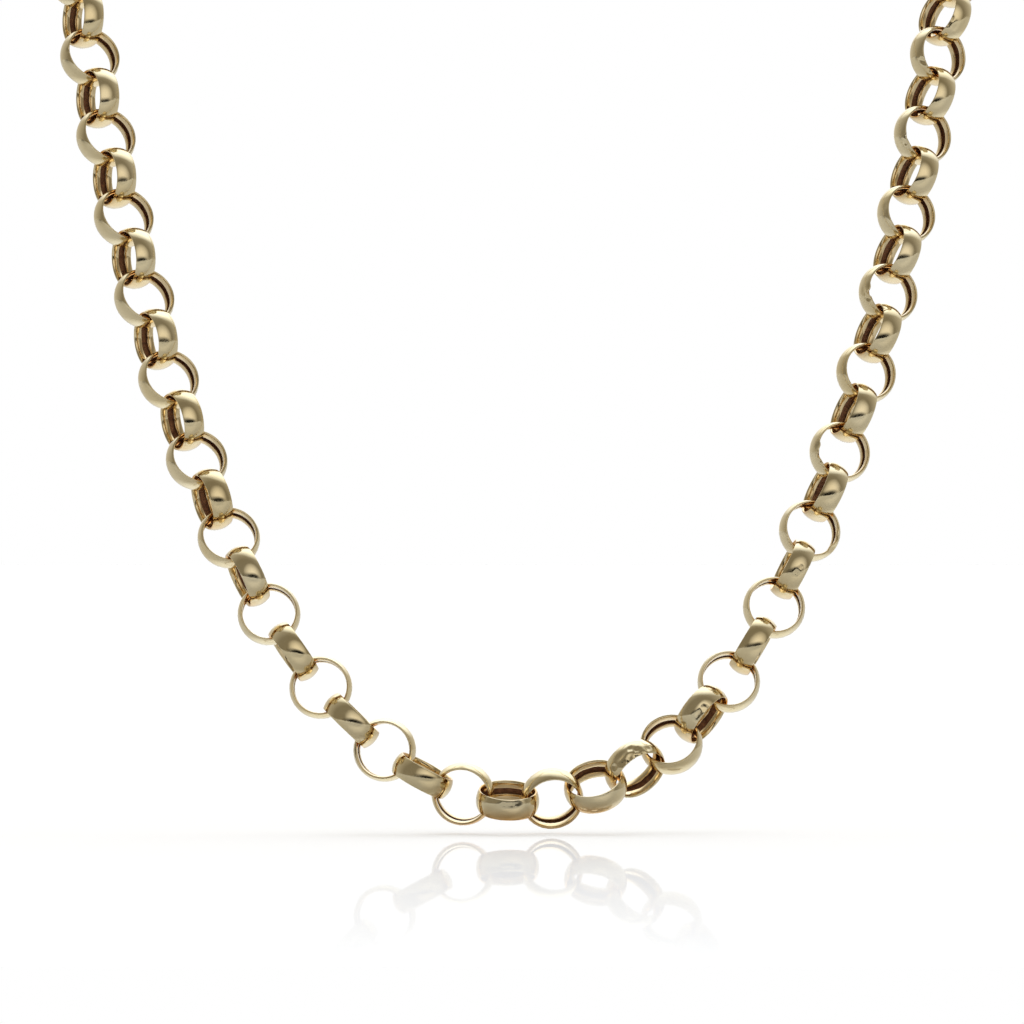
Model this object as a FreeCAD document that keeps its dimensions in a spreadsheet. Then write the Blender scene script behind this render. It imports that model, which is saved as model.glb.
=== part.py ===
import FreeCAD, Part
import math
import os
import Sketcher

# Rolo chain necklace, in millimetres
#
# Round hollow links, each turned a quarter turn from the next, form one closed loop with a claw
# clasp at the nape. The loop keeps the form it has when worn: it goes down both sides of the neck,
# leans forward over the chest and meets at the front.
#
# +Z is up and -Y is the front. The origin is the nape, in the middle of the back of the loop.

# Driving sizes: name, value and what it is
SIZES = (
    ("link_diameter", 8.0, "outside diameter of a link"),
    ("link_thickness", 0.66, "from the bore to the top of the dome"),
    ("link_width", 2.75, "along the link's own axis"),
    ("rim_height", 0.36, "straight side of the link under its dome"),
    ("shoulder_radius", 0.15, "rounding between the straight side and the dome"),
    ("lip_radius", 0.25, "rounding of the edges of the bore"),
    ("wall", 0.18, "sheet that the hollow link is rolled from"),
    ("seam_width", 0.85, "open seam round the bore"),
    ("link_pitch", 5.83, "between the middles of neighbouring links, where the chain isn't twisted"),
    ("twist_closing", 0.02, "how much closer neighbours sit for each degree of twist between them"),
    ("links_left", 41, "links from the front link up the left side to the clasp"),
    ("links_right", 42, "links from the front link up the right side to the clasp"),
    ("clasp_thickness", 3.0, "front to back"),
    ("clasp_round", 0.9, "rounding of the clasp's outside edges"),
    ("mouth_round", 0.35, "rounding of the edges of the eye and the opening"),
    ("clasp_slack", 0.15, "between the clasp and the links that it holds"),
    ("eye_radius", 2.0, "hole that holds the left end link"),
    ("eye_wall", 1.0, "metal round the eye"),
    ("claw_radius", 4.7, "outside of the claw"),
    ("claw_wall", 1.45, "metal at the end of the claw"),
    ("opening_radius", 2.25, "half the width of the claw's opening"),
    ("opening_length", 4.6, "between the middles of the opening's round ends"),
    ("clasp_reach", 14.4, "from the eye's middle to the opening's far round end"),
)

# The way of the loop. Each row is a place on it: the name of the stretch, then x, y and z of a
# link there, then the turn of the links about the chain in degrees. A turn of 0 shows every
# second link face on from the front, and one of 90 shows the links between them face on.
ROUTE = (
    ("nape, left of the clasp", -10.5, -0.5, 0.0, -5.0),
    ("back of the neck, left", -24.9, -4.4, 1.0, -5.1),
    ("back of the neck, left", -37.6, -12.8, 1.3, -14.0),
    ("side of the neck, left", -48.4, -24.7, 0.6, -20.8),
    ("side of the neck, left", -55.5, -38.2, -3.8, -26.9),
    ("shoulder, left", -58.6, -52.4, -13.0, -34.0),
    ("collar, left", -57.4, -68.5, -33.7, -42.0),
    ("chest, left", -53.2, -76.9, -54.8, -44.0),
    ("chest, left", -47.8, -84.9, -76.0, -42.0),
    ("chest, left", -40.7, -91.9, -97.1, -36.0),
    ("chest, left", -31.1, -99.1, -117.0, -14.8),
    ("turn of the drop, left", -24.5, -101.0, -126.3, -8.6),
    ("turn of the drop, left", -20.6, -101.9, -130.5, -5.0),
    ("turn of the drop, left", -16.4, -102.8, -134.2, 1.3),
    ("turn of the drop, left", -11.5, -103.8, -137.5, 2.6),
    ("turn of the drop, left", -6.1, -104.3, -139.9, 12.3),
    ("front", -0.7, -104.9, -140.6, 18.1),
    ("turn of the drop, right", 4.8, -104.6, -140.4, 29.1),
    ("turn of the drop, right", 10.4, -104.2, -138.9, 36.3),
    ("turn of the drop, right", 15.3, -103.0, -136.7, 47.2),
    ("turn of the drop, right", 20.0, -101.6, -133.7, 54.9),
    ("turn of the drop, right", 23.8, -99.9, -129.9, 62.7),
    ("turn of the drop, right", 27.4, -98.3, -125.8, 73.0),
    ("chest, right", 30.6, -96.7, -121.1, 75.8),
    ("chest, right", 40.1, -89.1, -101.6, 90.0),
    ("chest, right", 47.3, -81.2, -80.9, 97.0),
    ("chest, right", 52.6, -72.6, -59.9, 100.0),
    ("collar, right", 58.2, -62.6, -33.2, 111.0),
    ("shoulder, right", 60.6, -48.7, -11.8, 105.5),
    ("side of the neck, right", 57.1, -35.7, -2.8, 104.6),
    ("side of the neck, right", 48.8, -22.1, 1.6, 98.0),
    ("back of the neck, right", 36.8, -11.2, 2.4, 92.0),
    ("back of the neck, right", 22.8, -4.3, 1.2, 88.0),
    ("nape, right of the clasp", 7.5, -0.5, 0.0, 85.0),
)
FRONT_ROW = [row[0] for row in ROUTE].index("front")
FORWARD = FreeCAD.Vector(0, -1, 0)
QUARTER_TURN = 90.0
LEFTWARD = -1
RIGHTWARD = 1
BISECTIONS = 40
REACH = 1.5
MEETING_TOLERANCE = 0.05
SAME_PLACE = 1e-4

# Formulas on the sheet's cells, for the sketches and for the code
HALF_WIDTH = "Sizes.link_width / 2"
OUTSIDE = "Sizes.link_diameter / 2"
BORE = f"({OUTSIDE} - Sizes.link_thickness)"
RISE = "(Sizes.link_thickness - Sizes.rim_height)"
DOME = f"((({HALF_WIDTH}) ^ 2 + {RISE} ^ 2) / (2 * {RISE}))"
DOME_PLACE = f"({OUTSIDE} - {DOME})"
CORE_DOME = f"({DOME} - Sizes.wall)"
CORE_FLOOR = f"({BORE} + Sizes.wall)"
CORE_WIDTH = "(Sizes.link_width - 2 * Sizes.lip_radius)"
GRIP = f"sqrt({BORE} ^ 2 - (Sizes.clasp_thickness / 2) ^ 2)"
EYE_GRIP = f"({GRIP} + sqrt((Sizes.eye_radius - Sizes.clasp_slack) ^ 2 - ({HALF_WIDTH}) ^ 2))"
CLAW_GRIP = f"({GRIP} + sqrt((Sizes.opening_radius - Sizes.clasp_slack) ^ 2 - ({HALF_WIDTH}) ^ 2))"
CLASP_SPAN = f"({EYE_GRIP} + Sizes.clasp_reach + {CLAW_GRIP})"
EYE_OUTSIDE = "(Sizes.eye_radius + Sizes.eye_wall)"
EYE_PLACE = f"({CLASP_SPAN} / 2 - {EYE_GRIP})"
OPENING_END = f"({CLASP_SPAN} / 2 - {CLAW_GRIP})"
OPENING_START = f"({OPENING_END} - Sizes.opening_length)"
CLAW_PLACE = f"({OPENING_END} + Sizes.opening_radius + Sizes.claw_wall - Sizes.claw_radius)"

# Numbers by which a sketch names the ends of a line or arc, an arc's middle and its own origin
START = 1
END = 2
MIDDLE = 3
ORIGIN = (-1, 1)
X_AXIS = -1


def fill_sheet(doc):
    # One row for each size: its name, its value and a remark
    sheet = doc.addObject("Spreadsheet::Sheet", "Sizes")
    for number, (name, value, remark) in enumerate(SIZES, start=1):
        sheet.set(f"A{number}", name)
        sheet.set(f"B{number}", str(value))
        sheet.set(f"C{number}", remark)
        sheet.setAlias(f"B{number}", name)
    doc.recompute()
    return sheet


def new_sketch(body, name):
    # Every sketch lies in its body's XZ plane, with the sketch's own y along +Z
    plane = next(item for item in body.Origin.OriginFeatures if item.Role == "XZ_Plane")
    sketch = body.newObject("Sketcher::SketchObject", name)
    sketch.AttachmentSupport = [(plane, "")]
    sketch.MapMode = "FlatFace"
    return sketch


def measure(item, *formulas):
    # The formulas' values as plain numbers
    return [float(item.evalExpression(formula)) for formula in formulas]


def constrain(sketch, kind, *reference):
    sketch.addConstraint(Sketcher.Constraint(kind, *reference))


def bind(sketch, name, formula, kind, *reference):
    # A measured constraint that follows the sheet
    constrain(sketch, kind, *reference, *measure(sketch, formula))
    sketch.renameConstraint(sketch.ConstraintCount - 1, name)
    sketch.setExpression(f"Constraints.{name}", formula)


def add_line(sketch, start, end):
    return sketch.addGeometry(Part.LineSegment(FreeCAD.Vector(*start, 0), FreeCAD.Vector(*end, 0)), False)


def add_arc(sketch, middle, radius, first_angle, last_angle):
    # An arc whose middle lies on the sketch's x axis
    circle = Part.Circle(FreeCAD.Vector(middle, 0, 0), FreeCAD.Vector(0, 0, 1), radius)
    arc = sketch.addGeometry(Part.ArcOfCircle(circle, first_angle, last_angle), False)
    constrain(sketch, "PointOnObject", arc, MIDDLE, X_AXIS)
    return arc


def close_outline(sketch, kind, pieces):
    # Each piece of the outline is tied to the start of the next
    for piece, following in zip(pieces, pieces[1:] + pieces[:1]):
        constrain(sketch, kind, piece, END, following, START)


def draw_section(body, name, floor, width, dome):
    # Flat towards the bore, short straight sides and a domed outside
    sketch = new_sketch(body, name)
    inside_x, half_width, radius, place = measure(sketch, floor, f"({width}) / 2", dome, DOME_PLACE)
    spread = math.asin(half_width / radius)
    side_x = place + radius * math.cos(spread)
    inside = add_line(sketch, (inside_x, half_width), (inside_x, -half_width))
    lower = add_line(sketch, (inside_x, -half_width), (side_x, -half_width))
    crown = add_arc(sketch, place, radius, -spread, spread)
    upper = add_line(sketch, (side_x, half_width), (inside_x, half_width))
    close_outline(sketch, "Coincident", [inside, lower, crown, upper])
    constrain(sketch, "Symmetric", inside, START, inside, END, X_AXIS)
    constrain(sketch, "Horizontal", lower)
    constrain(sketch, "Horizontal", upper)
    bind(sketch, "floor", floor, "DistanceX", *ORIGIN, inside, START)
    bind(sketch, "width", width, "DistanceY", inside, END, inside, START)
    bind(sketch, "dome", dome, "Radius", crown)
    bind(sketch, "dome_place", DOME_PLACE, "DistanceX", *ORIGIN, crown, MIDDLE)
    return sketch


def draw_seam(body):
    # A slot through the wall of the bore, from a wall's thickness before it to half of one past it
    sketch = new_sketch(body, "SeamProfile")
    bore, wall, half_seam = measure(sketch, BORE, "Sizes.wall", "Sizes.seam_width / 2")
    near = bore - wall
    far = bore + wall + wall / 2
    inside = add_line(sketch, (near, half_seam), (near, -half_seam))
    lower = add_line(sketch, (near, -half_seam), (far, -half_seam))
    outside = add_line(sketch, (far, -half_seam), (far, half_seam))
    upper = add_line(sketch, (far, half_seam), (near, half_seam))
    close_outline(sketch, "Coincident", [inside, lower, outside, upper])
    constrain(sketch, "Symmetric", inside, START, inside, END, X_AXIS)
    constrain(sketch, "Horizontal", lower)
    constrain(sketch, "Horizontal", upper)
    constrain(sketch, "Vertical", outside)
    bind(sketch, "near", f"{BORE} - Sizes.wall", "DistanceX", *ORIGIN, inside, START)
    bind(sketch, "depth", "Sizes.wall * 5 / 2", "DistanceX", lower, START, lower, END)
    bind(sketch, "width", "Sizes.seam_width", "DistanceY", inside, END, inside, START)
    return sketch


def turn_profile(doc, body, kind, name, sketch):
    # A full turn about the body's Z axis, which adds to the body or cuts it
    volume = body.Shape.Volume if body.Tip else 0.0
    feature = body.newObject(f"PartDesign::{kind}", name)
    feature.Profile = sketch
    feature.ReferenceAxis = (sketch, ["V_Axis"])
    doc.recompute()
    grown = feature.Shape.Volume - volume
    if (grown > 0) != (kind == "Revolution") or grown == 0:
        raise RuntimeError(f"{name} changed the volume by {grown:.3f}")
    return feature


def round_edges(doc, body, name, cell, choose):
    # Fillets every edge of the body that the choice accepts
    base = body.Tip
    chosen = [f"Edge{number}" for number, edge in enumerate(base.Shape.Edges, start=1) if choose(edge)]
    fillet = body.newObject("PartDesign::Fillet", name)
    fillet.Base = (base, chosen)
    fillet.setExpression("Radius", f"Sizes.{cell}")
    doc.recompute()
    return fillet


def on_rim(edge, radius, half_width):
    # Is this edge a circle of this radius round the link's axis, at the link's side?
    if not isinstance(edge.Curve, Part.Circle):
        return False
    same_radius = math.isclose(edge.Curve.Radius, radius, abs_tol=SAME_PLACE)
    return same_radius and math.isclose(abs(edge.Curve.Center.z), half_width, abs_tol=SAME_PLACE)


def make_link(doc, sheet):
    # A hollow ring rolled from sheet, with its open seam inside, about its own Z axis
    body = doc.addObject("PartDesign::Body", "LinkPattern")
    body.Label = "link_pattern"
    bore, half_width = measure(sheet, BORE, HALF_WIDTH)
    turn_profile(doc, body, "Revolution", "Ring",
                 draw_section(body, "RingProfile", BORE, "Sizes.link_width", DOME))
    round_edges(doc, body, "Shoulders", "shoulder_radius",
                lambda edge: on_rim(edge, bore + sheet.rim_height, half_width))
    turn_profile(doc, body, "Groove", "Core",
                 draw_section(body, "CoreProfile", CORE_FLOOR, CORE_WIDTH, CORE_DOME))
    turn_profile(doc, body, "Groove", "Seam", draw_seam(body))
    round_edges(doc, body, "Lips", "lip_radius", lambda edge: on_rim(edge, bore, half_width))
    return body


def draw_capsule(sketch, left, left_radius, right, right_radius):
    # Two round ends joined by straight tangent sides
    corner = math.pi / 2 + math.asin((right_radius - left_radius) / (right - left))
    left_x = left + left_radius * math.cos(corner)
    right_x = right + right_radius * math.cos(corner)
    left_y = left_radius * math.sin(corner)
    right_y = right_radius * math.sin(corner)
    left_end = add_arc(sketch, left, left_radius, corner, 2 * math.pi - corner)
    lower = add_line(sketch, (left_x, -left_y), (right_x, -right_y))
    right_end = add_arc(sketch, right, right_radius, -corner, corner)
    upper = add_line(sketch, (right_x, right_y), (left_x, left_y))
    close_outline(sketch, "Tangent", [left_end, lower, right_end, upper])
    return left_end, right_end


def draw_clasp_outline(body):
    sketch = new_sketch(body, "ClaspOutline")
    eye, eye_radius = measure(sketch, EYE_PLACE, EYE_OUTSIDE)
    claw, claw_radius = measure(sketch, CLAW_PLACE, "Sizes.claw_radius")
    eye_end, claw_end = draw_capsule(sketch, -eye, eye_radius, claw, claw_radius)
    bind(sketch, "eye_outside", EYE_OUTSIDE, "Radius", eye_end)
    bind(sketch, "claw_outside", "Sizes.claw_radius", "Radius", claw_end)
    bind(sketch, "eye_place", EYE_PLACE, "DistanceX", eye_end, MIDDLE, *ORIGIN)
    bind(sketch, "claw_place", CLAW_PLACE, "DistanceX", *ORIGIN, claw_end, MIDDLE)
    return sketch


def draw_clasp_holes(body):
    # The round eye and the long opening of the claw
    sketch = new_sketch(body, "ClaspHoles")
    eye, eye_radius = measure(sketch, EYE_PLACE, "Sizes.eye_radius")
    near, far, radius = measure(sketch, OPENING_START, OPENING_END, "Sizes.opening_radius")
    circle = Part.Circle(FreeCAD.Vector(-eye, 0, 0), FreeCAD.Vector(0, 0, 1), eye_radius)
    hole = sketch.addGeometry(circle, False)
    constrain(sketch, "PointOnObject", hole, MIDDLE, X_AXIS)
    bind(sketch, "eye_radius", "Sizes.eye_radius", "Radius", hole)
    bind(sketch, "eye_place", EYE_PLACE, "DistanceX", hole, MIDDLE, *ORIGIN)
    near_end, far_end = draw_capsule(sketch, near, radius, far, radius)
    constrain(sketch, "Equal", near_end, far_end)
    bind(sketch, "opening_radius", "Sizes.opening_radius", "Radius", far_end)
    bind(sketch, "opening_end", OPENING_END, "DistanceX", *ORIGIN, far_end, MIDDLE)
    bind(sketch, "opening_length", "Sizes.opening_length", "DistanceX", near_end, MIDDLE, far_end, MIDDLE)
    return sketch


def face_edges(shape, half_thickness, on_outline):
    # The edges of the clasp's front and back faces, on their outline or round their holes
    found = []
    for face in shape.Faces:
        box = face.BoundBox
        if math.isclose(abs(box.YMin), half_thickness, abs_tol=SAME_PLACE) and box.YLength < SAME_PLACE:
            for wire in face.Wires:
                if wire.isSame(face.OuterWire) == on_outline:
                    found.extend(wire.Edges)
    return found


def make_clasp(doc, sheet):
    # One plain cast piece in the XZ plane, with the eye on the left and the claw on the right
    body = doc.addObject("PartDesign::Body", "Clasp")
    body.Label = "clasp"
    plate = body.newObject("PartDesign::Pad", "Plate")
    plate.Profile = draw_clasp_outline(body)
    plate.SideType = "Symmetric"
    plate.setExpression("Length", "Sizes.clasp_thickness")
    doc.recompute()
    holes = body.newObject("PartDesign::Pocket", "Holes")
    holes.Profile = draw_clasp_holes(body)
    holes.SideType = "Symmetric"
    holes.Type = "ThroughAll"
    doc.recompute()
    if holes.Shape.Volume >= plate.Shape.Volume:
        raise RuntimeError("the clasp's holes cut nothing")
    half_thickness = sheet.clasp_thickness / 2
    for name, cell, on_outline in (("Outside", "clasp_round", True), ("Mouths", "mouth_round", False)):
        edges = face_edges(body.Tip.Shape, half_thickness, on_outline)
        round_edges(doc, body, name, cell, lambda edge: any(edge.isSame(other) for other in edges))
    return body


def draw_route():
    # A smooth closed curve through the route's rows, measured along its chords
    points = [FreeCAD.Vector(*row[1:4]) for row in ROUTE]
    places = [0.0]
    for point, following in zip(points, points[1:] + points[:1]):
        places.append(places[-1] + point.distanceToPoint(following))
    curve = Part.BSplineCurve()
    curve.interpolate(Points=points, PeriodicFlag=True, Parameters=places)
    return curve, places


def turn_at(places, place):
    # Straight interpolation between the rows before and after the place
    turns = [row[4] for row in ROUTE]
    row = max(number for number in range(len(ROUTE)) if places[number] <= place)
    share = (place - places[row]) / (places[row + 1] - places[row])
    return turns[row] + share * (turns[(row + 1) % len(ROUTE)] - turns[row])


def next_place(curve, places, place, pitch, closing, direction):
    # The next link's place, at the pitch less what the twist takes, by halving the interval
    twist = turn_at(places, place + direction * pitch) - turn_at(places, place)
    distance = pitch - closing * abs(twist)
    origin = curve.value(place)
    near = place
    far = place + REACH * direction * pitch
    for _ in range(BISECTIONS):
        middle = (near + far) / 2
        if origin.distanceToPoint(curve.value(middle)) < distance:
            near = middle
        else:
            far = middle
    return near


def across(direction, tangent):
    # The part of a direction that is square to the tangent
    return (direction - tangent * direction.dot(tangent)).normalize()


def lay_places(sheet, curve, places, direction, count):
    # The places of the links on one side of the front link, from the front up to the clasp
    laid = [places[FRONT_ROW]]
    for _ in range(count):
        laid.append(next_place(curve, places, laid[-1], sheet.link_pitch, sheet.twist_closing, direction))
    return laid[1:]


def lay_links(curve, places, left, right):
    # Each link halves the bend between its neighbours, with its hole's axis square to its way. An
    # end link's neighbour past the clasp is the other end link. The reference for the turn is
    # carried untwisted from the front link, and faces forward there.
    along = left[::-1] + [places[FRONT_ROW]] + right
    points = [curve.value(place) for place in along]
    ends = points[-1:] + points + points[:1]
    ways = [(following - point).normalize() for point, following in zip(ends, ends[1:])]
    tangents = [(before + after).normalize() for before, after in zip(ways, ways[1:])]
    front = len(left)
    references = {front: across(FORWARD, tangents[front])}
    for number in range(front - 1, -1, -1):
        references[number] = across(references[number + 1], tangents[number])
    for number in range(front + 1, len(along)):
        references[number] = across(references[number - 1], tangents[number])
    laid = []
    for number, (place, point, tangent) in enumerate(zip(along, points, tangents)):
        turn = turn_at(places, place) + (QUARTER_TURN if (number - front) % 2 == 0 else 0.0)
        axis = FreeCAD.Rotation(tangent, turn).multVec(references[number])
        rotation = FreeCAD.Rotation(tangent, axis.cross(tangent), axis, "ZXY")
        laid.append(FreeCAD.Placement(point, rotation))
    return laid[:front + 1], laid[front + 1:]


def make_chain(doc, name, link, placements):
    # A half chain of loose links, each a placed copy of the pattern
    chain = doc.addObject("Part::Feature", name)
    chain.Label = name
    copies = []
    for placement in placements:
        copy = link.Shape.copy()
        copy.Placement = placement
        copies.append(copy)
    chain.Shape = Part.makeCompound(copies)
    return chain


def join_ends(clasp, left_end, right_end, span):
    # The clasp lies between the end links, its plate square to their bores
    run = right_end.Base - left_end.Base
    if abs(run.Length - span) > MEETING_TOLERANCE:
        raise RuntimeError(f"the end links are {run.Length:.2f} apart and the clasp spans {span:.2f}")
    axes = [end.Rotation.multVec(FreeCAD.Vector(0, 0, 1)) for end in (left_end, right_end)]
    upright = across(sum((axis if axis.z > 0 else -axis for axis in axes), FreeCAD.Vector()), run.normalize())
    rotation = FreeCAD.Rotation(run, upright.cross(run), upright, "XZY")
    clasp.Placement = FreeCAD.Placement((left_end.Base + right_end.Base) / 2, rotation)


def main():
    doc = FreeCAD.newDocument("RoloChain")
    sheet = fill_sheet(doc)
    link = make_link(doc, sheet)
    clasp = make_clasp(doc, sheet)
    curve, places = draw_route()
    left, right = lay_links(
        curve,
        places,
        lay_places(sheet, curve, places, LEFTWARD, int(sheet.links_left)),
        lay_places(sheet, curve, places, RIGHTWARD, int(sheet.links_right)),
    )
    chain_left = make_chain(doc, "chain_left", link, left)
    chain_right = make_chain(doc, "chain_right", link, right)
    span, = measure(sheet, CLASP_SPAN)
    print(f"end links {left[0].Base.distanceToPoint(right[-1].Base):.3f} apart, clasp spans {span:.3f}")
    join_ends(clasp, left[0], right[-1], span)
    doc.recompute()
    return doc, link, [chain_left, chain_right, clasp]


def check(doc, nodes):
    for item in doc.Objects:
        if {"Invalid", "Error"} & set(item.State):
            raise RuntimeError(f"{item.Name} failed: {item.State}")
    for node in nodes:
        if node.Shape.isNull() or not node.Shape.isValid():
            raise RuntimeError(f"{node.Label} has no valid shape")


def export(nodes):
    os.makedirs("parts", exist_ok=True)
    for node in nodes:
        node.Shape.exportStep(os.path.join("parts", f"{node.Label}.step"))
        print(f"{node.Label}: {len(node.Shape.Solids)} solids, {node.Shape.Volume:.1f} cubic millimetres")


document, pattern, subparts = main()
check(document, subparts)
export(subparts)
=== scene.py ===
# %% [markdown]
# A rolo chain necklace, worn and seen from the front.
#
# The chain is a row of round links. Each link is rolled from thin gold sheet into a hollow ring
# with a domed outside, and the sheet's two edges nearly meet on the inside, where they leave an
# open seam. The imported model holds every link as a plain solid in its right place. This script
# reads those places, spins a plain link and a finer one, and lays a worn copy in each place.

# %% The frame
import math
from collections import namedtuple

import bmesh
import bpy
import numpy
from mathutils import Matrix, Vector, noise


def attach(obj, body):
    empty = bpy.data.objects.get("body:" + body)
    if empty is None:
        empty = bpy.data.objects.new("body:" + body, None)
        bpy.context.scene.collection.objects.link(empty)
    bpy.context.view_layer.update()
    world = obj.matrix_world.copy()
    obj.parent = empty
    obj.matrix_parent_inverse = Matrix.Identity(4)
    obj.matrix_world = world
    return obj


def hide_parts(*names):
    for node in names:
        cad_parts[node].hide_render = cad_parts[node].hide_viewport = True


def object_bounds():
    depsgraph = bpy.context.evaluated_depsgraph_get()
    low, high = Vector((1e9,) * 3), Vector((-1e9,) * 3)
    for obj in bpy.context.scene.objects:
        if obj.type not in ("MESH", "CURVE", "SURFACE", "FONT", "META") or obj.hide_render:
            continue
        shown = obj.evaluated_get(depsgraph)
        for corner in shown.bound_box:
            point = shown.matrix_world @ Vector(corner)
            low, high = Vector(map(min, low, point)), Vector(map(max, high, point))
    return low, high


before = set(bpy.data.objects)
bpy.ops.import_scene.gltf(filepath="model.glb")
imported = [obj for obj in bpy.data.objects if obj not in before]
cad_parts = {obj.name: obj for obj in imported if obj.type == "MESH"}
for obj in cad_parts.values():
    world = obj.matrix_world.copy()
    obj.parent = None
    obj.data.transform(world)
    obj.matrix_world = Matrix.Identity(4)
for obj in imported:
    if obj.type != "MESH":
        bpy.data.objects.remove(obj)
CAD_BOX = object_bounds()
MM = 0.001

# %% [markdown]
# The camera comes first, because every look at the picture depends on it. The photograph was
# taken with a long lens straight from the front, a little under a metre away, so far strands look
# hardly smaller than near ones. The camera stands level and square to the chain.

# %% The camera
CAMERA_PLACE = Vector((-0.00014, -0.910, -0.1043))
SENSOR_WIDTH = 36.0
FOCAL_PIXELS = 6395.0
PICTURE_WIDTH = 1024.0

camera_data = bpy.data.cameras.new("camera")
camera_data.sensor_width = SENSOR_WIDTH
camera_data.lens = SENSOR_WIDTH * FOCAL_PIXELS / PICTURE_WIDTH
camera = bpy.data.objects.new("camera", camera_data)
camera.location = CAMERA_PLACE
camera.rotation_euler = (math.radians(90), 0, 0)
bpy.context.scene.collection.objects.link(camera)
bpy.context.scene.camera = camera
print(f"camera lens {camera_data.lens:.1f} mm")

# %% [markdown]
# Where is each link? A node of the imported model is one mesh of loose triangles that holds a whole
# half chain. Merged by distance, it falls apart into one island for each link. A ring's middle is
# the mean of its surface, and the hole's axis is the direction in which that surface spreads least.

# %% Reading the links from the frame
MERGE_DISTANCE = 0.001 * MM


def read_islands(node):
    # Groups of faces that hang together, from a merged copy of the node's mesh
    mesh = bmesh.new()
    mesh.from_mesh(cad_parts[node].data)
    bmesh.ops.remove_doubles(mesh, verts=mesh.verts, dist=MERGE_DISTANCE)
    unseen = set(mesh.faces)
    islands = []
    while unseen:
        border = [unseen.pop()]
        island = list(border)
        while border:
            face = border.pop()
            for edge in face.edges:
                for neighbour in edge.link_faces:
                    if neighbour in unseen:
                        unseen.remove(neighbour)
                        border.append(neighbour)
                        island.append(neighbour)
        islands.append([(face.calc_area(), tuple(face.calc_center_median())) for face in island])
    mesh.free()
    return islands


def measure_link(island):
    # The middle of a ring and the axis of its hole
    areas = numpy.array([area for area, place in island])
    places = numpy.array([place for area, place in island])
    middle = (areas[:, None] * places).sum(axis=0) / areas.sum()
    spread = (places - middle) * numpy.sqrt(areas)[:, None]
    directions = numpy.linalg.eigh(spread.T @ spread)[1]
    return Vector(middle), Vector(directions[:, 0])


def put_in_order(links, start):
    # From the link nearest the start, always on to the nearest one left
    ordered = []
    here = start
    left = list(links)
    while left:
        nearest = min(left, key=lambda link: (link[0] - here).length)
        left.remove(nearest)
        ordered.append(nearest)
        here = nearest[0]
    return ordered


NAPE = Vector((0.0, 0.0, 0.0))
left_links = put_in_order([measure_link(island) for island in read_islands("chain_left")], NAPE)
right_links = put_in_order([measure_link(island) for island in read_islands("chain_right")], NAPE)[::-1]
links = left_links + right_links
FRONT = len(left_links) - 1
print(f"{len(left_links)} links on the left and {len(right_links)} on the right")
pitches = [(after[0] - before[0]).length for before, after in zip(links, links[1:])]
print(f"neighbours {min(pitches) / MM:.2f} to {max(pitches) / MM:.2f} mm apart")

# %% [markdown]
# Each copy of the link needs a full turn as well as a middle. Its own Z becomes the hole's axis, on
# the side that looks at the camera, and its own X runs down the chain, halving the bend there.

# %% A place for each link
def chain_way(number):
    # The direction of the chain at a link, from its neighbour before to its neighbour after
    before = links[max(number - 1, 0)][0]
    after = links[min(number + 1, len(links) - 1)][0]
    return (after - before).normalized()


def link_place(number):
    # The link's own Z is its hole's axis and its own X runs down the chain
    middle, axis = links[number]
    way = chain_way(number)
    along = (way - axis * way.dot(axis)).normalized()
    if axis.dot(CAMERA_PLACE - middle) < 0:
        axis = -axis
    side = axis.cross(along)
    return Matrix((along, side, axis)).transposed().to_4x4(), middle


# %% [markdown]
# One link is a section spun round the hole's axis. The section goes once round the metal: up over
# the domed outside, round the rolled edge beside the hole, across the flat lip, over the cut edge
# of the sheet and into the dark hollow. bmesh.ops.spin turns such a profile into a closed ring. The
# outside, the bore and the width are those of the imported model, so the new link fits its place.

# %% The section of a link
OUTSIDE = 4.0
BORE = 3.34
HALF_WIDTH = 1.375
RIM = 3.63
LIP_DEPTH = 0.20
LIP_WIDTH = 0.52
SHOULDER_ROUND = 0.06
SEAM_HALF = 0.425
SHEET = 0.18
EDGE_BEVEL_DEPTH = 0.04
EDGE_BEVEL_HEIGHT = 0.06
EDGE_BACK_DEPTH = 0.02
EDGE_BACK_HEIGHT = 0.12
HOLLOW_SLOPE = 0.08
HOLLOW_HALF = 0.62
DOME_STEPS = 7
SHOULDER_STEPS = 3
LIP_STEPS = 5
RISE = OUTSIDE - RIM
DOME = (HALF_WIDTH ** 2 + RISE ** 2) / (2 * RISE)


def arc(middle_r, middle_z, radius, first, last, steps, stretch=1.0):
    # Points of an arc in the section's plane, from one angle to another, as (radius, z) pairs
    found = []
    for step in range(steps + 1):
        angle = math.radians(first + (last - first) * step / steps)
        rise = radius * stretch * math.sin(angle)
        found.append((middle_r + radius * math.cos(angle), middle_z + rise))
    return found


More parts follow.
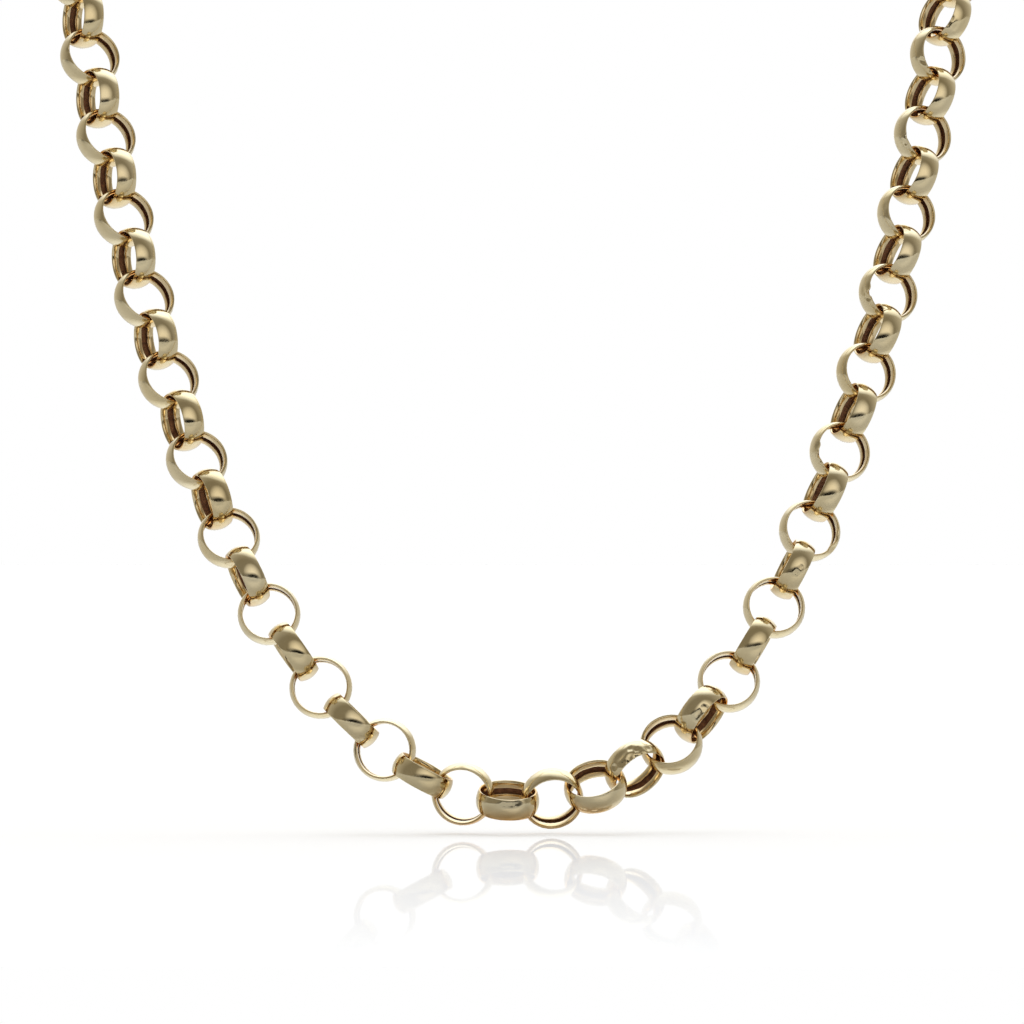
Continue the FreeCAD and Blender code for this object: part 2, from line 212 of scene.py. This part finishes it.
def half_section():
    # From the crown of the dome, round the side and the lip, to the seam's edge and into the hollow
    leaning = math.asin((HALF_WIDTH - SHOULDER_ROUND) / (DOME - SHOULDER_ROUND))
    shoulder_r = OUTSIDE - DOME + (DOME - SHOULDER_ROUND) * math.cos(leaning)
    spread = math.degrees(leaning)
    dome = arc(OUTSIDE - DOME, 0, DOME, 0, spread, DOME_STEPS)
    shoulder_z = HALF_WIDTH - SHOULDER_ROUND
    shoulder = arc(shoulder_r, shoulder_z, SHOULDER_ROUND, spread, 90, SHOULDER_STEPS)[1:]
    lip_z = HALF_WIDTH - LIP_WIDTH
    lip = arc(BORE + LIP_DEPTH, lip_z, LIP_DEPTH, 90, 180, LIP_STEPS, LIP_WIDTH / LIP_DEPTH)
    edge = [
        (BORE, SEAM_HALF + EDGE_BEVEL_HEIGHT),
        (BORE + EDGE_BEVEL_DEPTH, SEAM_HALF),
        (BORE + SHEET, SEAM_HALF),
        (BORE + SHEET + EDGE_BACK_DEPTH, SEAM_HALF + EDGE_BACK_HEIGHT),
    ]
    return dome + shoulder + lip + edge


HOLLOW_FLOOR = OUTSIDE - SHEET
half = half_section()
hollow_side = HOLLOW_FLOOR - HOLLOW_SLOPE
section = half + [(hollow_side, HOLLOW_HALF), (HOLLOW_FLOOR, 0.0), (hollow_side, -HOLLOW_HALF)]
section += [(r, -z) for r, z in half[:0:-1]]
print(f"the section has {len(section)} points, its dome a radius of {DOME:.2f} mm")

# %% [markdown]
# The spun ring comes out as one closed skin. Its doubles are merged, then its normals are
# recalculated so that they point out of the metal. The cut edges of the sheet stay crisp, because
# an edge between two faces at a steep angle is marked sharp, and all else is shaded smooth. A
# dented link needs more steps than a plain one, so both kinds are spun.

# %% Spinning the link
PLAIN_STEPS = 40
DENTED_STEPS = 80
SHARP_ANGLE = math.radians(38)
# The material number of the hollow's inside, which is painted dark for its shade
HOLLOW_SHADE_NUMBER = 1


def spin_link(steps):
    ring = bmesh.new()
    verts = [ring.verts.new((r * MM, 0, z * MM)) for r, z in section]
    edges = [ring.edges.new(pair) for pair in zip(verts, verts[1:] + verts[:1])]
    bmesh.ops.spin(
        ring,
        geom=verts + edges,
        cent=(0, 0, 0),
        axis=(0, 0, 1),
        angle=math.tau,
        steps=steps,
        use_merge=True,
    )
    bmesh.ops.remove_doubles(ring, verts=ring.verts, dist=MERGE_DISTANCE)
    bmesh.ops.recalc_face_normals(ring, faces=ring.faces)
    for edge in ring.edges:
        edge.smooth = edge.calc_face_angle() < SHARP_ANGLE
    # Faces deep in the hollow take the material painted dark for the shade there
    for face in ring.faces:
        face.smooth = True
        middle = face.calc_center_median()
        radius = middle.to_2d().length / MM
        is_deep = BORE + EDGE_BEVEL_DEPTH < radius < HOLLOW_FLOOR
        is_inside = is_deep and abs(middle.z) / MM < HALF_WIDTH / 2
        face.material_index = HOLLOW_SHADE_NUMBER if is_inside else 0
    mesh = bpy.data.meshes.new("link")
    ring.to_mesh(mesh)
    ring.free()
    return mesh


plain_link = spin_link(PLAIN_STEPS)
fine_link = spin_link(DENTED_STEPS)
print(f"a plain link has {len(plain_link.polygons)} faces, a dented one {len(fine_link.polygons)}")

# %% [markdown]
# Polished gold is a metal with a warm colour and a low roughness. What makes it look real is that
# its reflections aren't quite straight: hand polishing leaves soft waves a few millimetres long and
# hairline scratches. Both come from noise in Object coordinates, so they stay put on the chain.

# %% Gold
def grey(value):
    return (value, value, value, 1.0)


GOLD = (0.90, 0.775, 0.505, 1.0)
GOLD_DEEP = (0.86, 0.715, 0.425, 1.0)
# The amber is painted shade for the nips between links
NIP_SHADE_AMBER = (0.76, 0.44, 0.14, 1.0)
# The hollow's inside is painted dark brown, with darker blotches, for the shade there
HOLLOW_SHADE_BROWN = (0.36, 0.17, 0.08, 1.0)
HOLLOW_SHADE_DARKEST = (0.17, 0.065, 0.03, 1.0)
GOLD_ROUGHNESS = 0.2
HOLLOW_ROUGHNESS = 0.55
HOLLOW_METAL = 0.4
# The reach, samples and ramp of the painted shade in the nips
NIP_SHADE_REACH = 4.2 * MM
NIP_SHADE_SAMPLES = 8
NIP_SHADE_STOPS = [(0.3, grey(1.0)), (0.92, grey(0.0))]
CLOUD_SCALE = 180.0
CLOUD_STOPS = [(0.35, GOLD_DEEP), (0.6, GOLD)]
HANDLING_SCALE = 900.0
HANDLING_STOPS = [(0.35, grey(0.09)), (0.7, grey(0.17))]
WAVE_SCALE = 420.0
WAVE_DEPTH = 0.06 * MM
HAIRLINE_SCALE = 3500.0
HAIRLINE_DEPTH = 0.002 * MM
# The blotches of the painted shade inside the hollow
HOLLOW_SHADE_SCALE = 1500.0
HOLLOW_SHADE_STOPS = [(0.3, HOLLOW_SHADE_DARKEST), (0.65, HOLLOW_SHADE_BROWN)]


def new_material(name, roughness, metallic):
    material = bpy.data.materials.new(name)
    material.use_nodes = True
    shader = material.node_tree.nodes["Principled BSDF"]
    shader.inputs["Metallic"].default_value = metallic
    shader.inputs["Roughness"].default_value = roughness
    return material, shader


def add_noise(tree, scale, detail):
    # Noise in Object coordinates, whose scale is in features to the metre
    place = tree.nodes.new("ShaderNodeTexCoord")
    pattern = tree.nodes.new("ShaderNodeTexNoise")
    pattern.inputs["Scale"].default_value = scale
    pattern.inputs["Detail"].default_value = detail
    tree.links.new(place.outputs["Object"], pattern.inputs["Vector"])
    return pattern


def add_ramp(tree, value, stops):
    ramp = tree.nodes.new("ShaderNodeValToRGB")
    elements = ramp.color_ramp.elements
    while len(elements) < len(stops):
        elements.new(1.0)
    for element, (position, colour) in zip(elements, stops):
        element.position = position
        element.color = colour
    tree.links.new(value, ramp.inputs["Fac"])
    return ramp


def add_bump(tree, height, distance, under=None):
    bump = tree.nodes.new("ShaderNodeBump")
    bump.inputs["Distance"].default_value = distance
    tree.links.new(height, bump.inputs["Height"])
    if under:
        tree.links.new(under.outputs["Normal"], bump.inputs["Normal"])
    return bump


def paint_nip_shade(tree, colour):
    # Painted amber shade where the metal is close to other metal, as in the nips between links
    nip_nearness = tree.nodes.new("ShaderNodeAmbientOcclusion")
    nip_nearness.samples = NIP_SHADE_SAMPLES
    nip_nearness.inputs["Distance"].default_value = NIP_SHADE_REACH
    share = add_ramp(tree, nip_nearness.outputs["AO"], NIP_SHADE_STOPS)
    nip_shade_blend = tree.nodes.new("ShaderNodeMix")
    nip_shade_blend.data_type = "RGBA"
    nip_shade_blend.inputs["B"].default_value = NIP_SHADE_AMBER
    tree.links.new(share.outputs["Color"], nip_shade_blend.inputs["Factor"])
    tree.links.new(colour, nip_shade_blend.inputs["A"])
    return nip_shade_blend.outputs["Result"]


def polished_gold():
    material, shader = new_material("polished_gold", GOLD_ROUGHNESS, 1.0)
    tree = material.node_tree
    clouds = add_noise(tree, CLOUD_SCALE, 2.0)
    colour = add_ramp(tree, clouds.outputs["Fac"], CLOUD_STOPS)
    tree.links.new(paint_nip_shade(tree, colour.outputs["Color"]), shader.inputs["Base Color"])
    handling = add_noise(tree, HANDLING_SCALE, 4.0)
    roughness = add_ramp(tree, handling.outputs["Fac"], HANDLING_STOPS)
    tree.links.new(roughness.outputs["Color"], shader.inputs["Roughness"])
    wave_noise = add_noise(tree, WAVE_SCALE, 1.0)
    waves = add_bump(tree, wave_noise.outputs["Fac"], WAVE_DEPTH)
    hairline_noise = add_noise(tree, HAIRLINE_SCALE, 3.0)
    hairlines = add_bump(tree, hairline_noise.outputs["Fac"], HAIRLINE_DEPTH, waves)
    tree.links.new(hairlines.outputs["Normal"], shader.inputs["Normal"])
    return material


def painted_hollow_shade():
    # Dark brown with darker blotches, painted for the shade inside the hollow
    material, shader = new_material("painted_hollow_shade", HOLLOW_ROUGHNESS, HOLLOW_METAL)
    tree = material.node_tree
    hollow_shade_noise = add_noise(tree, HOLLOW_SHADE_SCALE, 3.0)
    colour = add_ramp(tree, hollow_shade_noise.outputs["Fac"], HOLLOW_SHADE_STOPS)
    tree.links.new(colour.outputs["Color"], shader.inputs["Base Color"])
    return material


gold = polished_gold()
hollow = painted_hollow_shade()
print("materials:", gold.name, hollow.name)

# %% [markdown]
# Thin sheet dents at the lightest knock, and this chain has had many, most on the right strand. Each
# dent is a row of a table: the link, counted from the front one up the right strand and with a
# minus sign up the left, the place in the photograph in pixels, and in millimetres how far the dent
# reaches, how deep it goes and how far it drags the metal to the right. A row finds its spot on the
# link by looking from the camera through its picture place, and the wall round the spot is pushed
# in, most in the middle and not at all at the dent's reach.

# %% Dents
PICTURE_MIDDLE = PICTURE_WIDTH / 2
SPOT_SLACK = 2.0
Dent = namedtuple("Dent", "link column row reach depth right")
DENTS = [
    Dent(-21, 69.5, 48, 0.40, 0.15, 0.0),
    Dent(-1, 460, 767, 0.60, 0.12, 0.0),
    Dent(0, 504, 803, 0.45, 0.08, 0.0),
    Dent(0, 512, 803.5, 0.40, 0.10, 0.0),
    Dent(0, 519, 803, 0.45, 0.07, 0.0),
    Dent(3, 612, 766, 0.60, 0.13, 0.0),
    Dent(3, 616, 757, 0.60, 0.19, 0.0),
    Dent(3, 622, 752, 0.50, 0.14, 0.0),
    Dent(3, 622, 761, 0.40, 0.16, 0.0),
    Dent(3, 630, 747, 0.50, 0.17, 0.0),
    Dent(3, 630, 754, 0.45, 0.18, 0.0),
    Dent(3, 637, 757, 0.35, 0.22, 0.0),
    Dent(3, 639, 748, 0.50, 0.17, 0.0),
    Dent(3, 645, 753, 0.35, 0.17, 0.0),
    Dent(3, 628, 763, 0.35, 0.20, 0.0),
    Dent(3, 648, 746, 0.50, 0.14, 0.0),
    Dent(5, 695, 716, 0.50, 0.15, 0.0),
    Dent(5, 701, 714, 0.40, 0.18, 0.0),
    Dent(5, 705, 707, 0.60, 0.16, 0.0),
    Dent(9, 799, 573, 0.35, 0.12, 0.0),
    Dent(9, 803, 568, 0.30, 0.10, 0.0),
    Dent(10, 837, 549, 0.80, 0.16, -0.20),
    Dent(10, 839, 533, 0.70, 0.12, -0.14),
    Dent(10, 829, 552, 0.60, 0.12, 0.0),
    Dent(12, 821, 453, 0.55, 0.20, -0.36),
    Dent(12, 823, 443, 0.50, 0.0, 0.22),
    Dent(12, 818, 459, 0.50, 0.20, 0.0),
    Dent(12, 815, 446, 0.40, 0.12, 0.0),
    Dent(15, 883.5, 308, 0.35, 0.20, 0.0),
    Dent(15, 886, 306, 0.30, 0.14, 0.0),
    Dent(16, 868, 292, 0.60, 0.16, -0.36),
    Dent(16, 870, 285, 0.45, 0.0, 0.12),
    Dent(16, 866, 299, 0.50, 0.18, 0.0),
    Dent(16, 861, 289, 0.45, 0.12, 0.0),
    Dent(17, 907, 229, 0.30, 0.12, 0.0),
    Dent(18, 884, 206, 0.45, 0.14, -0.10),
    Dent(20, 905, 137, 0.45, 0.20, -0.12),
    Dent(20, 904, 144, 0.50, 0.18, 0.0),
    Dent(20, 897, 146, 0.45, 0.10, 0.0),
    Dent(22, 924, 64, 0.45, 0.20, 0.0),
    Dent(22, 928, 70, 0.45, 0.22, 0.0),
    Dent(22, 920, 61, 0.50, 0.12, 0.0),
    Dent(23, 953, 19, 0.40, 0.20, 0.0),
    Dent(23, 950, 26, 0.40, 0.15, 0.0),
    Dent(23, 956, 28, 0.50, 0.10, 0.0),
]


def picture_place(point):
    away = point.y - CAMERA_PLACE.y
    column = PICTURE_MIDDLE + FOCAL_PIXELS * (point.x - CAMERA_PLACE.x) / away
    row = PICTURE_MIDDLE - FOCAL_PIXELS * (point.z - CAMERA_PLACE.z) / away
    return Vector((column, row))


def press_dent(verts, dent):
    # The spot is the nearest to the camera of the points that the picture shows at the dent's place
    aim = Vector((dent.column, dent.row))
    facing = [vert for vert in verts if vert.normal.dot(CAMERA_PLACE - vert.co) > 0]
    misses = [(picture_place(vert.co) - aim).length for vert in facing]
    limit = min(misses) + SPOT_SLACK
    close = [vert for vert, miss in zip(facing, misses) if miss < limit]
    spot = min(close, key=lambda vert: vert.co.y)
    middle = spot.co.copy()
    push = Vector((dent.right, 0, 0)) * MM - spot.normal * dent.depth * MM
    for vert in verts:
        share = (vert.co - middle).length / (dent.reach * MM)
        if share < 1:
            vert.co += push * (1 - share ** 2)


print(f"{len(DENTS)} dents on {len({dent.link for dent in DENTS})} links")

# %% [markdown]
# Links without a dent aren't perfect either. Rolling and wear leave each dome slightly uneven, which
# the eye reads from the wobble in its reflections. So every copy gets a small drift of its own along
# its normals, from a noise that is smooth over a few millimetres.

# %% Laying the links
WEAR_DEPTH = 0.03 * MM
WEAR_SCALE = 260.0
SEED_STEP = 7.3
SEAM_WANDER = 0.09 * MM
SEAM_SCALE = 900.0
SEAM_REACH = 0.1
SEAM_SLACK = 0.01


def is_at_seam(vert):
    # The sheet's cut edge, from its bore side to its hollow side
    is_edge = abs(abs(vert.co.z) - SEAM_HALF * MM) < SEAM_REACH * MM
    return is_edge and vert.co.to_2d().length < (BORE + SHEET + SEAM_SLACK) * MM


def wear_link(verts, number):
    # Every link first gets a seam whose two edges wander, then the drift along its normals
    shift = Vector((number * SEED_STEP, 0, 0))
    for vert in verts:
        if is_at_seam(vert):
            vert.co.z += noise.noise(vert.co * SEAM_SCALE + shift) * SEAM_WANDER
    moves = [vert.normal * noise.noise(vert.co * WEAR_SCALE + shift) * WEAR_DEPTH for vert in verts]
    for vert, move in zip(verts, moves):
        vert.co += move


def shape_link(number):
    # One worn link in its place, with its dents
    dents = [dent for dent in DENTS if dent.link == number - FRONT]
    link = bmesh.new()
    link.from_mesh(fine_link if dents else plain_link)
    wear_link(link.verts, number)
    turn, middle = link_place(number)
    bmesh.ops.transform(link, matrix=Matrix.Translation(middle) @ turn, verts=link.verts)
    link.normal_update()
    for dent in dents:
        press_dent(link.verts, dent)
    mesh = bpy.data.meshes.new("worn_link")
    link.to_mesh(mesh)
    link.free()
    return mesh


def lay_chain(name, numbers):
    chain = bmesh.new()
    for number in numbers:
        worn_link = shape_link(number)
        chain.from_mesh(worn_link)
        bpy.data.meshes.remove(worn_link)
    mesh = bpy.data.meshes.new(name)
    chain.to_mesh(mesh)
    chain.free()
    mesh.materials.append(gold)
    mesh.materials.append(hollow)
    piece = bpy.data.objects.new(name, mesh)
    bpy.context.scene.collection.objects.link(piece)
    return piece


left_chain = lay_chain("left_links", range(FRONT + 1))
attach(left_chain, "root")
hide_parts("chain_left")

right_chain = lay_chain("right_links", range(FRONT + 1, len(links)))
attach(right_chain, "root")
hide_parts("chain_right")
laid_faces = len(left_chain.data.polygons) + len(right_chain.data.polygons)
print(f"laid {len(links)} links with {laid_faces} faces")

# %% [markdown]
# The clasp lies out of sight at the nape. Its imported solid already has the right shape, so it
# keeps its own mesh and only takes the gold.

# %% The clasp
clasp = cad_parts["clasp"]
clasp.data.materials.clear()
clasp.data.materials.append(gold)
print("clasp faces:", len(clasp.data.polygons))

# %% [markdown]
# The floor is a white plate just under the lowest link, with a polish that fades towards its front,
# so the chain has a faint mirror image below it. The plate ends 23 centimetres before the chain,
# and every dome shows what is there in small. A soft black card that stands on the plate's end
# becomes the dark smudge on each band, and a fainter one lies on the plate's left end, so that the
# left sides of the rings show no hard line. The metal sees the cards and the camera doesn't.

# %% The floor and its cards
FLOOR_GAP = 0.56 * MM
FLOOR_FRONT = -0.34
FLOOR_BACK = 4.0
FLOOR_SIDE = 4.0
MIRROR_START = -0.11
MIRROR_SHARE = 0.38
FLOOR_LIFT = 0.40
MIRROR_WHITE = 0.92
MIRROR_ROUGHNESS = 0.02
PLATE_WHITE = 0.93
# The reach and ramp of the painted shadow that the floor's lift gets near the chain
PAINTED_SHADOW_REACH = 0.022
PAINTED_SHADOW_DEEPEST = 0.62
PAINTED_SHADOW_STOPS = [(0.7, grey(PAINTED_SHADOW_DEEPEST)), (0.93, grey(1.0))]
SMUDGE_MIDDLE = 0.085
SMUDGE_RAISE = 0.012
SMUDGE_WIDTH = 0.30
SMUDGE_HEIGHT = 0.085
SMUDGE_DEPTH = 1.0
FADE_MIDDLE = -2.6
FADE_WIDTH = 2.45
FADE_LENGTH = 0.8
FADE_DEPTH = 0.8
CARD_GAP = 0.0004
CARD_CORE = 0.6
CARD_BLACK = 0.01
floor_level = CAD_BOX[0][2] - FLOOR_GAP


def stage_rectangle(name, corners, material):
    plate = bmesh.new()
    plate.faces.new([plate.verts.new(corner) for corner in corners])
    mesh = bpy.data.meshes.new(name)
    plate.to_mesh(mesh)
    plate.free()
    mesh.materials.append(material)
    sheet = bpy.data.objects.new(name, mesh)
    bpy.context.scene.collection.objects.link(sheet)
    return sheet


def add_range(tree, value, from_low, from_high, to_low, to_high):
    # A value between two limits, stretched to lie between two others
    stretch = tree.nodes.new("ShaderNodeMapRange")
    stretch.inputs["From Min"].default_value = from_low
    stretch.inputs["From Max"].default_value = from_high
    stretch.inputs["To Min"].default_value = to_low
    stretch.inputs["To Max"].default_value = to_high
    tree.links.new(value, stretch.inputs["Value"])
    return stretch.outputs["Result"]


def white_plate():
    # White and matt, lifted to white for the camera but for a painted shadow by the chain, with a
    # mirror that fades to the front
    material = bpy.data.materials.new("white_plate")
    material.use_nodes = True
    tree = material.node_tree
    tree.nodes.clear()
    matt = tree.nodes.new("ShaderNodeBsdfDiffuse")
    matt.inputs["Color"].default_value = grey(PLATE_WHITE)
    lift = tree.nodes.new("ShaderNodeEmission")
    # A painted shadow: the lift gets darker where the chain is near, on top of the real shadow
    shade = tree.nodes.new("ShaderNodeAmbientOcclusion")
    shade.inputs["Distance"].default_value = PAINTED_SHADOW_REACH
    painted_shadow = add_ramp(tree, shade.outputs["AO"], PAINTED_SHADOW_STOPS)
    tree.links.new(painted_shadow.outputs["Color"], lift.inputs["Color"])
    ray_kind = tree.nodes.new("ShaderNodeLightPath")
    lift_share = add_range(tree, ray_kind.outputs["Is Camera Ray"], 0, 1, 0, FLOOR_LIFT)
    tree.links.new(lift_share, lift.inputs["Strength"])
    lifted = tree.nodes.new("ShaderNodeAddShader")
    tree.links.new(matt.outputs["BSDF"], lifted.inputs[0])
    tree.links.new(lift.outputs["Emission"], lifted.inputs[1])
    mirror = tree.nodes.new("ShaderNodeBsdfGlossy")
    mirror.inputs["Roughness"].default_value = MIRROR_ROUGHNESS
    mirror.inputs["Color"].default_value = grey(MIRROR_WHITE)
    place = tree.nodes.new("ShaderNodeTexCoord")
    parts = tree.nodes.new("ShaderNodeSeparateXYZ")
    tree.links.new(place.outputs["Object"], parts.inputs["Vector"])
    share = add_range(tree, parts.outputs["Y"], FLOOR_FRONT, MIRROR_START, 0, MIRROR_SHARE)
    surface = tree.nodes.new("ShaderNodeMixShader")
    tree.links.new(share, surface.inputs["Fac"])
    tree.links.new(lifted.outputs["Shader"], surface.inputs[1])
    tree.links.new(mirror.outputs["BSDF"], surface.inputs[2])
    output = tree.nodes.new("ShaderNodeOutputMaterial")
    tree.links.new(surface.outputs["Shader"], output.inputs["Surface"])
    return material


stage_rectangle(
    "floor",
    [
        (-FLOOR_SIDE, FLOOR_FRONT, floor_level),
        (FLOOR_SIDE, FLOOR_FRONT, floor_level),
        (FLOOR_SIDE, FLOOR_BACK, floor_level),
        (-FLOOR_SIDE, FLOOR_BACK, floor_level),
    ],
    white_plate(),
)


def soft_card(name, corners, middle, reach, strength):
    # Black in its middle and clear past its reach, so its mirror image has no edge
    material = bpy.data.materials.new(name)
    material.use_nodes = True
    tree = material.node_tree
    tree.nodes.clear()
    place = tree.nodes.new("ShaderNodeTexCoord")
    centred = tree.nodes.new("ShaderNodeMapping")
    centred.vector_type = "TEXTURE"
    centred.inputs["Location"].default_value = middle
    centred.inputs["Scale"].default_value = reach
    tree.links.new(place.outputs["Object"], centred.inputs["Vector"])
    fade = tree.nodes.new("ShaderNodeTexGradient")
    fade.gradient_type = "SPHERICAL"
    tree.links.new(centred.outputs["Vector"], fade.inputs["Vector"])
    clear = tree.nodes.new("ShaderNodeBsdfTransparent")
    black = tree.nodes.new("ShaderNodeBsdfDiffuse")
    black.inputs["Color"].default_value = grey(CARD_BLACK)
    surface = tree.nodes.new("ShaderNodeMixShader")
    share = add_range(tree, fade.outputs["Fac"], 0, CARD_CORE, 0, strength)
    tree.links.new(share, surface.inputs["Fac"])
    tree.links.new(clear.outputs["BSDF"], surface.inputs[1])
    tree.links.new(black.outputs["BSDF"], surface.inputs[2])
    output = tree.nodes.new("ShaderNodeOutputMaterial")
    tree.links.new(surface.outputs["Shader"], output.inputs["Surface"])
    card = stage_rectangle(name, corners, material)
    card.visible_camera = False
    card.visible_diffuse = False
    card.visible_shadow = False


smudge_low = floor_level + SMUDGE_RAISE - SMUDGE_HEIGHT
smudge_high = floor_level + SMUDGE_RAISE + SMUDGE_HEIGHT
soft_card(
    "smudge_card",
    [
        (SMUDGE_MIDDLE - SMUDGE_WIDTH, FLOOR_FRONT, smudge_low),
        (SMUDGE_MIDDLE + SMUDGE_WIDTH, FLOOR_FRONT, smudge_low),
        (SMUDGE_MIDDLE + SMUDGE_WIDTH, FLOOR_FRONT, smudge_high),
        (SMUDGE_MIDDLE - SMUDGE_WIDTH, FLOOR_FRONT, smudge_high),
    ],
    (SMUDGE_MIDDLE, FLOOR_FRONT, floor_level + SMUDGE_RAISE),
    (SMUDGE_WIDTH, 1, SMUDGE_HEIGHT),
    SMUDGE_DEPTH,
)
fade_level = floor_level + CARD_GAP
soft_card(
    "fading_card",
    [
        (-FLOOR_SIDE, FLOOR_FRONT, fade_level),
        (FADE_MIDDLE + FADE_WIDTH, FLOOR_FRONT, fade_level),
        (FADE_MIDDLE + FADE_WIDTH, FLOOR_FRONT + FADE_LENGTH, fade_level),
        (-FLOOR_SIDE, FLOOR_FRONT + FADE_LENGTH, fade_level),
    ],
    (FADE_MIDDLE, FLOOR_FRONT, fade_level),
    (FADE_WIDTH, FADE_LENGTH, 1),
    FADE_DEPTH,
)
print(f"floor at {floor_level / MM:.1f} mm")

# %% [markdown]
# Metal shows its surroundings more than itself. The chain hangs in a dim room with three bright
# things in it: a large soft box overhead and a little behind, a paler stretch of wall in front and
# to the right, and the white backdrop. Each is a round patch of the world, whose brightness depends
# only on the angle to its middle. The dim walls are a patch too, one so wide that it covers nearly
# the whole room. The camera alone sees plain white all round.

# %% The room
Patch = namedtuple("Patch", "direction inner outer colour")
SOFT_BOX = Patch((0.1, 0.57, 0.81), 18, 46, (1.03, 1.14, 1.32, 1.0))
FRONT_WALL = Patch((0.36, -0.93, 0.12), 12, 46, (0.66, 0.64, 0.62, 1.0))
BACKDROP_MIDDLE = Patch((0.0, 1.0, 0.05), 14, 20, grey(0.5))
BACKDROP_SPREAD = Patch((0.0, 1.0, 0.15), 25, 105, grey(0.39))
DIM_WALLS = Patch((0.0, 0.0, -1.0), 178, 180, (0.22, 0.2, 0.16, 1.0))

world = bpy.data.worlds.new("room")
bpy.context.scene.world = world
world.use_nodes = True
room = world.node_tree
room.nodes.clear()
room_view = room.nodes.new("ShaderNodeTexCoord")


def light_patch(patch):
    # Full colour within the inner angle of its direction, nothing past the outer angle
    closeness = room.nodes.new("ShaderNodeVectorMath")
    closeness.operation = "DOT_PRODUCT"
    closeness.inputs[1].default_value = Vector(patch.direction).normalized()
    room.links.new(room_view.outputs["Generated"], closeness.inputs[0])
    low = math.cos(math.radians(patch.outer))
    high = math.cos(math.radians(patch.inner))
    share = add_range(room, closeness.outputs["Value"], low, high, 0, 1)
    light = room.nodes.new("ShaderNodeMix")
    light.data_type = "RGBA"
    light.inputs["A"].default_value = grey(0.0)
    light.inputs["B"].default_value = patch.colour
    room.links.new(share, light.inputs["Factor"])
    return light.outputs["Result"]


def add_light(below, above):
    total = room.nodes.new("ShaderNodeMix")
    total.data_type = "RGBA"
    total.blend_type = "ADD"
    total.inputs["Factor"].default_value = 1.0
    room.links.new(below, total.inputs["A"])
    room.links.new(above, total.inputs["B"])
    return total.outputs["Result"]


soft_box = light_patch(SOFT_BOX)
front_wall = light_patch(FRONT_WALL)
backdrop = add_light(light_patch(BACKDROP_MIDDLE), light_patch(BACKDROP_SPREAD))
dim_walls = light_patch(DIM_WALLS)
room_light = room.nodes.new("ShaderNodeBackground")
room.links.new(
    add_light(add_light(dim_walls, front_wall), add_light(backdrop, soft_box)),
    room_light.inputs["Color"],
)
plain_white = room.nodes.new("ShaderNodeBackground")
plain_white.inputs["Color"].default_value = grey(1.0)
ray = room.nodes.new("ShaderNodeLightPath")
choice = room.nodes.new("ShaderNodeMixShader")
room.links.new(ray.outputs["Is Camera Ray"], choice.inputs["Fac"])
room.links.new(room_light.outputs["Background"], choice.inputs[1])
room.links.new(plain_white.outputs["Background"], choice.inputs[2])
room_output = room.nodes.new("ShaderNodeOutputWorld")
room.links.new(choice.outputs["Shader"], room_output.inputs["Surface"])
bpy.context.scene.view_settings.view_transform = "Standard"
print("the room has a soft box, a front wall and a backdrop")
